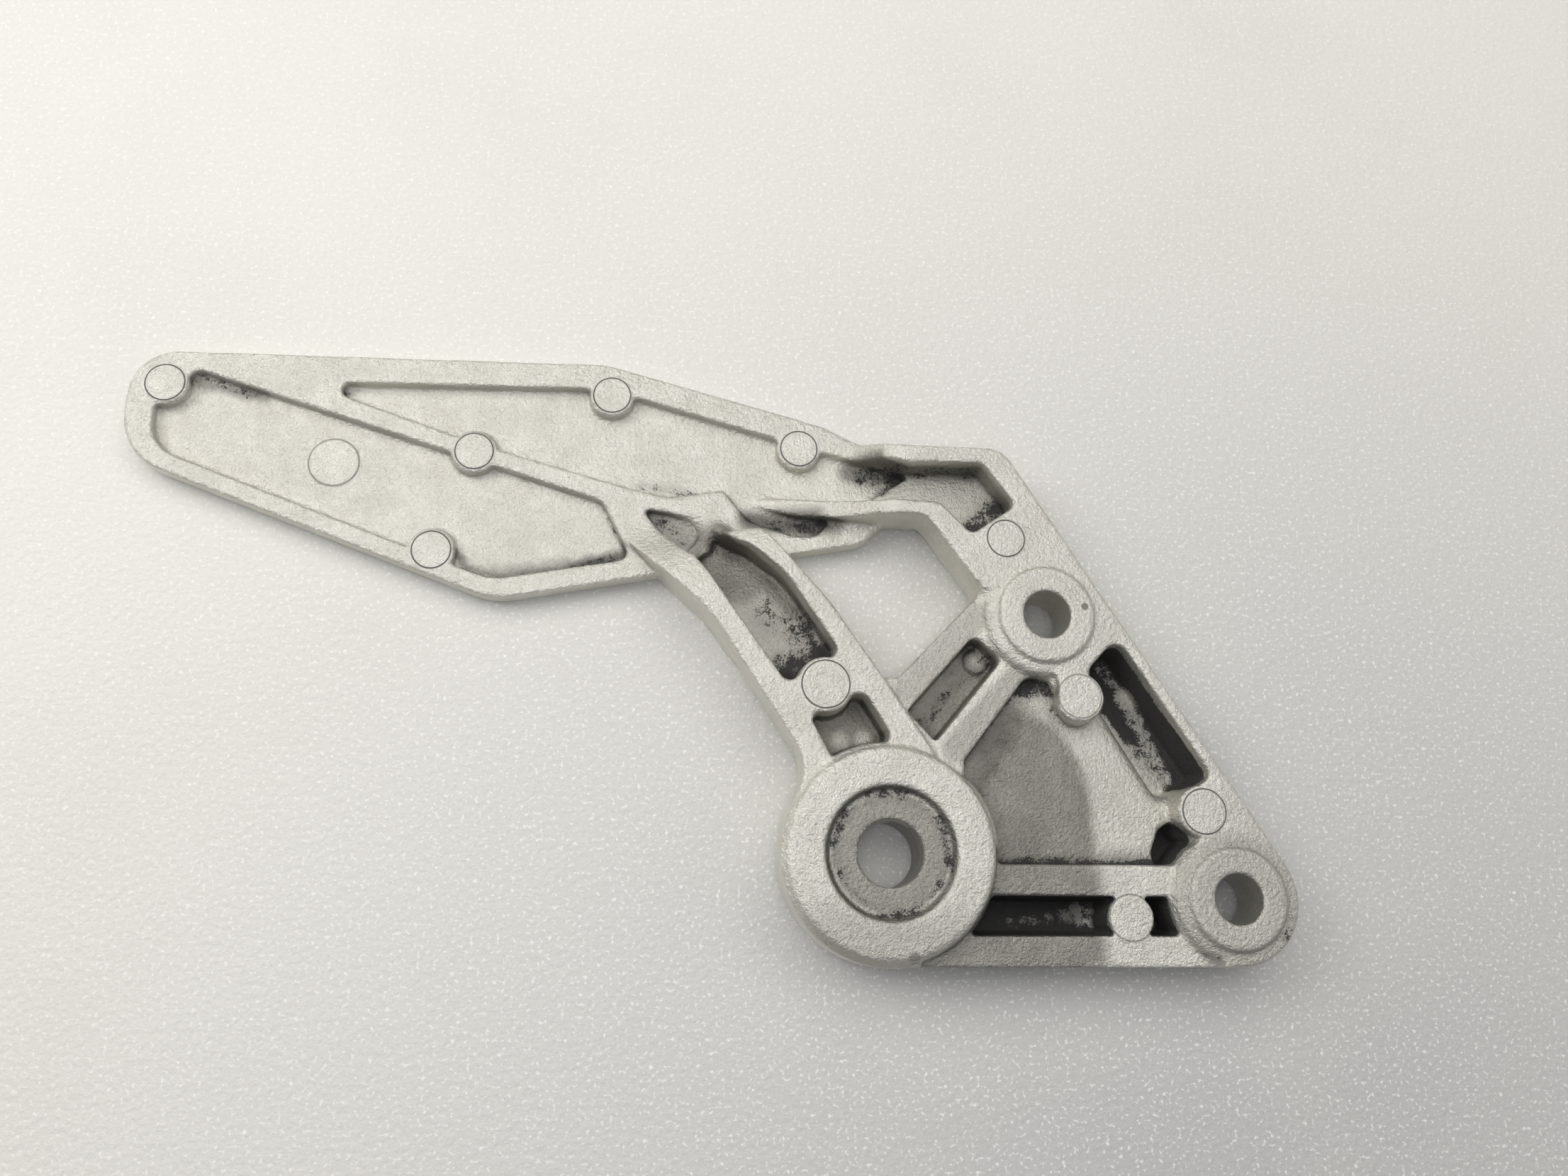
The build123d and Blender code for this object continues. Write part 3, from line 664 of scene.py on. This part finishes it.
# dull film together with painted shade and painted shadow, laid on points
FILM_AND_SHADE = (
    # the arms' pockets: painted shade at the left pocket's deep end, along the pockets' walls and under the
    # guard's inner rib, and dull film on the small pocket's floor
    Stroke((-32.0, 56.5), (-27.0, 51.0), 8.0, 0.86, 9.5, soft=0.6),
    Stroke((-32.0, 58.6), (-26.6, 55.7), 5.2, 1.0, 9.5, soft=0.9),
    Stroke((-26.6, 55.7), (-16.5, 45.7), 4.4, 0.95, 9.5, soft=0.9),
    Stroke((-16.5, 45.7), (-10.5, 38.5), 3.2, 0.66, 9.5, soft=0.9),
    Stroke((-26.5, 52.0), (-14.0, 34.0), 8.0, 0.44, 9.5, soft=0.6),
    Stroke((-43.5, 63.8), (-36.8, 59.8), 3.6, 0.55, 4.4, soft=0.5),
    Stroke((-5.0, 74.6), (20.0, 74.8), 3.4, 0.85, 11.0, soft=0.7),
    Stroke((20.0, 74.0), (26.0, 66.5), 2.6, 0.70, 11.0, soft=0.7),
    Stroke((4.0, 70.0), (20.0, 66.0), 7.0, 0.34, 9.0, soft=0.8),
    Stroke((-25.0, 63.4), (-9.0, 63.4), 3.8, 0.95, 6.5, soft=0.7),
    # painted shade along the foot of the guard's lower rim and of its ribs
    Stroke((-80.3, 55.4), (-78.0, 52.4), 1.4, 0.75, 4.6, soft=0.9),
    Stroke((-78.0, 52.4), (-71.8, 51.1), 1.5, 0.85, 4.6, soft=0.9),
    Stroke((-71.8, 51.1), (-59.9, 53.1), 1.6, 0.90, 4.6, soft=0.9),
    Stroke((-59.9, 53.1), (-48.5, 56.0), 1.8, 0.95, 4.6, soft=0.9),
    Stroke((-48.5, 56.0), (-48.4, 59.5), 1.7, 0.90, 4.6, soft=0.9),
    Stroke((-131.2, 87.2), (-118.0, 85.0), 1.6, 0.60, 4.6, soft=0.9),
    # the strut's pocket with dull film, the square pocket darker, and a painted shadow with a straight edge
    # over the web panel's left part
    Stroke((6.5, 23.0), (19.5, 38.0), 6.0, 0.80, 10.0),
    Stroke((18.1, 36.0), (18.1, 36.0), 2.0, -0.60, 9.8, soft=0.9),
    Stroke((-9.0, 22.0), (-3.0, 22.0), 8.0, 0.86, 9.5),
    Stroke((-8.0, 20.8), (-8.0, 20.8), 2.4, -0.55, 8.0, soft=0.9),
    Stroke((-3.6, 21.2), (-3.6, 21.2), 2.4, -0.55, 8.0, soft=0.9),
    # painted shadow over the web panel's left part, with a straight edge
    Stroke((19.8, -4.0), (19.4, 9.0), 20.6, 0.84, 9.5, soft=0.13),
    Stroke((15.5, 10.0), (24.0, 24.0), 9.0, 1.0, 9.5, soft=0.95),
    Stroke((17.0, -1.0), (50.0, -1.0), 4.0, 0.55, 9.5, soft=0.9),
    Stroke((36.1, 28.8), (36.1, 28.8), 8.5, 0.65, 9.5, 4.1, 0.9),
    Stroke((30.0, 8.0), (40.0, 24.0), 16.0, 0.12, 9.5),
    # the bores, the peg bore's recess and the ribs along the bottom: painted shade inside the bores and on
    # the peg boss's lower part, and the web panel's painted shadow carried on over the strut's ribs and the
    # ribs along the bottom
    # painted shade inside the peg bore and the bolt bores
    Stroke((0.0, 0.0), (0.0, 0.0), 6.4, 0.85, 12.4),
    Stroke((30.4, 44.1), (30.4, 44.1), 4.9, 0.85, 13.0),
    Stroke((63.2, -7.6), (63.2, -7.6), 4.9, 0.85, 13.0),
    Stroke((0.0, 0.0), (0.0, 0.0), 11.2, 0.72, 13.9, 6.0, 0.1),
    Stroke((0.0, 0.0), (0.0, 0.0), 12.3, 0.98, 14.3, 10.9, 0.06),
    # the painted shadow on the strut's ribs
    Stroke((4.0, 30.0), (17.0, 44.0), 3.4, 0.38, 11.9),
    Stroke((13.0, 19.0), (26.0, 33.0), 3.4, 0.46, 11.9),
    Stroke((63.2, -7.6), (63.2, -7.6), 13.0, 0.28, 14.9, soft=0.2),
    # the same painted shadow on the ribs along the bottom, and painted shade on the peg boss's lower part
    Stroke((20.0, -17.5), (20.0, -3.5), 20.2, 0.80, 11.9, soft=0.14, foot=8.8),
    Stroke((-9.0, -15.0), (12.0, -17.0), 12.0, 0.40, 14.9, soft=0.9, foot=10.5),
)


@dataclass
class Casting:
    """The hanger's one casting: a copy of the CAD solid with edges worn round like a blasted casting's."""

    node: str = "hanger"
    weld: float = 0.001 * MM
    grid: float = 0.38 * MM
    soften_steps: int = 3
    soften: float = 0.5
    blend_steps: int = 14
    keep: int = 130_000
    longest_edge: float = 1.8 * MM
    cut_rounds: int = 3
    flat_angle: float = 0.03
    flatness: int = 60
    weight_steps: int = 8
    blends: tuple[Stroke, ...] = (
        Stroke((30.4, 44.1), (30.4, 44.1), 15.0, 1.0, 12.9, 9.6),
        Stroke((63.2, -7.6), (63.2, -7.6), 15.0, 1.0, 12.9, 9.6),
        Stroke((0.0, 0.0), (0.0, 0.0), 24.0, 1.0, 12.4, 18.6),
        Stroke((-50.0, 60.0), (-30.0, 62.0), 9.0, 0.8, 12.0),
        Stroke((-22.0, 65.0), (4.0, 70.0), 8.0, 0.6, 12.0),
        Stroke((-12.0, 80.0), (4.0, 76.0), 6.0, 0.8, 12.0),
    )
    knead_steps: int = 120
    kneads: tuple[Stroke, ...] = (
        Stroke((-34.6, 63.6), (-30.4, 59.6), 4.4, 1.0, 12.0, soft=0.7),
        Stroke((18.8, 48.6), (18.8, 48.6), 3.0, 0.8, 12.6, soft=0.7),
    )

    def build(self) -> bpy.types.Object:
        """Copy the CAD node, round its edges and thin the mesh.

        Returns:
            The casting.
        """
        pick(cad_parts[self.node])
        bpy.ops.object.duplicate()
        casting = bpy.context.object
        casting.name = "hanger_casting"
        casting.data.name = "hanger_casting"
        bpy.ops.object.mode_set(mode="EDIT")
        bpy.ops.mesh.select_all(action="SELECT")
        bpy.ops.mesh.remove_doubles(threshold=self.weld)
        bpy.ops.object.mode_set(mode="OBJECT")
        apply_modifier(casting, "REMESH", mode="VOXEL", voxel_size=self.grid, adaptivity=0.0)
        self.weigh(casting, "blend", self.blends)
        apply_modifier(casting, "SMOOTH", factor=self.soften, iterations=self.soften_steps)
        self.smooth(casting, "blend", self.blend_steps)
        self.weigh(casting, "knead", self.kneads)
        self.smooth(casting, "knead", self.knead_steps)
        faces = len(casting.data.polygons)
        share = min(1.0, self.keep / (2 * faces))
        apply_modifier(casting, "DECIMATE", ratio=share, use_collapse_triangulate=True)
        casting.vertex_groups.clear()
        self.cut_long_edges(casting)
        self.lay_grime_and_shade(casting)
        pick(casting)
        bpy.ops.object.shade_smooth()
        apply_modifier(casting, "WEIGHTED_NORMAL", mode="FACE_AREA", weight=self.flatness, keep_sharp=False)
        LOG.info("casting: %d faces from %d", len(casting.data.polygons), faces)
        return casting

    def smooth(self, casting: bpy.types.Object, group: str, steps: int) -> None:
        """Smooth the casting where a vertex group is strong.

        Args:
            casting: The casting's object.
            group: The group's name.
            steps: How often the smoothing is repeated.
        """
        apply_modifier(casting, "SMOOTH", factor=self.soften, iterations=steps, vertex_group=group)

    def cut_long_edges(self, casting: bpy.types.Object) -> None:
        """Divide the flat faces' long edges, so that grime and painted shade laid on points end where they
        should.

        Args:
            casting: The casting's object.
        """
        pick(casting)
        bpy.ops.object.mode_set(mode="EDIT")
        bpy.ops.mesh.select_mode(type="EDGE")
        for _ in range(self.cut_rounds):
            bpy.ops.mesh.select_all(action="DESELECT")
            mesh = bmesh.from_edit_mesh(casting.data)
            for edge in mesh.edges:
                edge.select_set(edge.calc_length() > self.longest_edge)
            bmesh.update_edit_mesh(casting.data)
            bpy.ops.mesh.subdivide(number_cuts=1)
            bpy.ops.mesh.select_all(action="SELECT")
            bpy.ops.mesh.quads_convert_to_tris(quad_method="BEAUTY", ngon_method="BEAUTY")
            bpy.ops.mesh.beautify_fill(angle_limit=self.flat_angle)
        bpy.ops.mesh.dissolve_degenerate(threshold=self.weld)
        bpy.ops.object.mode_set(mode="OBJECT")

    @staticmethod
    def points(casting: bpy.types.Object) -> np.ndarray:
        """Read the casting's points.

        Args:
            casting: The casting's object.

        Returns:
            The points, in millimetres.
        """
        flat = np.empty(3 * len(casting.data.vertices), dtype=np.float64)
        casting.data.vertices.foreach_get("co", flat)
        return flat.reshape(-1, 3) / MM

    def weigh(self, casting: bpy.types.Object, name: str, strokes: tuple[Stroke, ...]) -> None:
        """Make a vertex group that is strong where the strokes lie.

        Args:
            casting: The casting's object.
            name: The group's name.
            strokes: Where the group is strong.
        """
        points = self.points(casting)
        weight = np.zeros(len(points))
        for stroke in strokes:
            weight = np.maximum(weight, stroke.cover(points))
        group = casting.vertex_groups.new(name=name)
        steps = np.round(weight * self.weight_steps).astype(int)
        for step in range(1, self.weight_steps + 1):
            group.add(np.flatnonzero(steps == step).tolist(), step / self.weight_steps, "REPLACE")

    def lay_grime_and_shade(self, casting: bpy.types.Object) -> None:
        """Write how much grime and how much dull film with painted shade and shadow lie on each point.

        Args:
            casting: The casting's object.
        """
        points = self.points(casting)
        for name, strokes in (("grime", GRIME), ("film_and_shade", FILM_AND_SHADE)):
            amount = np.zeros(len(points))
            for stroke in strokes:
                laid = stroke.cover(points)
                amount = amount + laid if stroke.amount < 0.0 else np.maximum(amount, laid)
            layer = casting.data.attributes.new(name, "FLOAT", "POINT")
            layer.data.foreach_set("value", np.clip(amount, 0.0, 1.0).astype(np.float32))

    def dress(self, casting: bpy.types.Object, finish: bpy.types.Material) -> None:
        """Give the casting its finish and its place in the frame.

        Args:
            casting: The casting's object.
            finish: The material it wears.
        """
        casting.data.materials.clear()
        casting.data.materials.append(finish)
        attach(casting, "root")
        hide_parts(self.node)


@dataclass
class Lamp:
    """A soft rectangular lamp aimed at the part."""

    facing: Facing
    place: Place3
    size: tuple[float, float]
    watts: float
    colour: tuple[float, float, float]
    aim: Place3 = (-0.03, 0.03, 0.0)

    def build(self) -> bpy.types.Object:
        """Make the lamp and turn it to its aim.

        Returns:
            The lamp's object.
        """
        deselect_all()
        bpy.ops.object.light_add(type="AREA", location=self.place)
        lamp = bpy.context.object
        lamp.name = f"lamp_{self.facing.value}"
        lamp.data.shape = "RECTANGLE"
        lamp.data.size, lamp.data.size_y = self.size
        lamp.data.energy = self.watts
        lamp.data.color = self.colour
        lamp.rotation_euler = (Vector(self.aim) - Vector(self.place)).to_track_quat("-Z", "Y").to_euler()
        return lamp


@dataclass
class Studio:
    """The pale floor, the soft lamps, the world and the camera."""

    floor_side: float = 4.0
    world_colour: Colour = (0.97, 0.98, 1.0, 1.0)
    world_strength: float = 0.21
    backdrop_strength: float = 1.0
    lamps: list[Lamp] = field(
        default_factory=lambda: [
            Lamp(
                Facing.BEHIND,
                place=(-0.30, 0.61, 0.80),
                size=(1.9, 1.0),
                watts=9.1,
                colour=(1.0, 0.98, 0.94),
                aim=(-0.30, 0.61, 0.0),
            ),
            Lamp(
                Facing.LEFT,
                place=(-0.50, 0.22, 0.40),
                size=(0.35, 0.35),
                watts=1.1,
                colour=(1.0, 0.985, 0.97),
            ),
            Lamp(
                Facing.RIGHT,
                place=(0.90, 0.05, 0.55),
                size=(0.5, 0.5),
                watts=1.1,
                colour=(0.99, 0.99, 1.0),
            ),
            Lamp(
                Facing.ABOVE,
                place=(-0.046, -0.016, 0.26),
                size=(0.08, 0.08),
                watts=0.10,
                colour=(0.94, 0.95, 1.0),
            ),
        ]
    )
    # worked out from the ellipses of the part's round edges
    camera_place: Place3 = (-0.04394, -0.01299, 0.23850)
    camera_right: Place3 = (0.993938, 0.002949, 0.109903)
    camera_up: Place3 = (-0.031212, 0.966080, 0.256351)
    focal_px: float = 1800.0
    width_px: float = 2212.0
    sensor: float = 36.0
    nearest: float = 0.005

    def build_floor(self, finish: bpy.types.Material) -> bpy.types.Object:
        """Lay the floor under the part.

        Args:
            finish: The floor's material.

        Returns:
            The floor's object.
        """
        deselect_all()
        bpy.ops.mesh.primitive_plane_add(size=self.floor_side, location=(0.0, 0.0, CAD_BOX[0][2]))
        floor = bpy.context.object
        floor.name = "floor"
        floor.data.materials.append(finish)
        return floor

    def build_world(self) -> None:
        """Light the scene evenly from all round."""
        world = bpy.data.worlds.new("soft_room")
        bpy.context.scene.world = world
        world.use_nodes = True
        sheet = NodeSheet(world.node_tree)
        light = world.node_tree.nodes["Background"]
        sheet.feed(light.inputs["Color"], self.world_colour)
        sheet.feed(light.inputs["Strength"], self.world_strength)
        seen = sheet.node("ShaderNodeBackground")
        sheet.feed(seen.inputs["Strength"], self.backdrop_strength)
        mix = sheet.node("ShaderNodeMixShader")
        sheet.feed(mix.inputs[0], sheet.node("ShaderNodeLightPath").outputs["Is Camera Ray"])
        sheet.feed(mix.inputs[1], light.outputs[0])
        sheet.feed(mix.inputs[2], seen.outputs[0])
        sheet.feed(world.node_tree.nodes["World Output"].inputs["Surface"], mix.outputs[0])

    def build_camera(self) -> bpy.types.Object:
        """Set the camera where the photograph was taken from.

        Returns:
            The camera's object.
        """
        deselect_all()
        bpy.ops.object.camera_add()
        camera = bpy.context.object
        camera.name = "camera"
        right = Vector(self.camera_right).normalized()
        up = Vector(self.camera_up).normalized()
        back = right.cross(up)
        turn = Matrix((right, up, back)).transposed()
        camera.matrix_world = Matrix.Translation(self.camera_place) @ turn.to_4x4()
        camera.data.sensor_width = self.sensor
        camera.data.lens = self.sensor * self.focal_px / self.width_px
        camera.data.clip_start = self.nearest
        bpy.context.scene.camera = camera
        return camera

    def build(self, floor_finish: bpy.types.Material) -> None:
        """Build the whole studio.

        Args:
            floor_finish: The floor's material.
        """
        self.build_floor(floor_finish)
        self.build_world()
        for lamp in self.lamps:
            lamp.build()
        self.build_camera()
        bpy.context.scene.view_settings.view_transform = "Standard"
        LOG.info("studio: floor, world, camera and %d lamps", len(self.lamps))


def main() -> None:
    """Build the studio and the casting."""
    logging.basicConfig(level=logging.INFO, format="%(name)s %(message)s")
    Studio().build(PaleFloor().build())
    casting = Casting()
    casting.dress(casting.build(), CastAluminium().build())


if __name__ == "__main__":
    main()
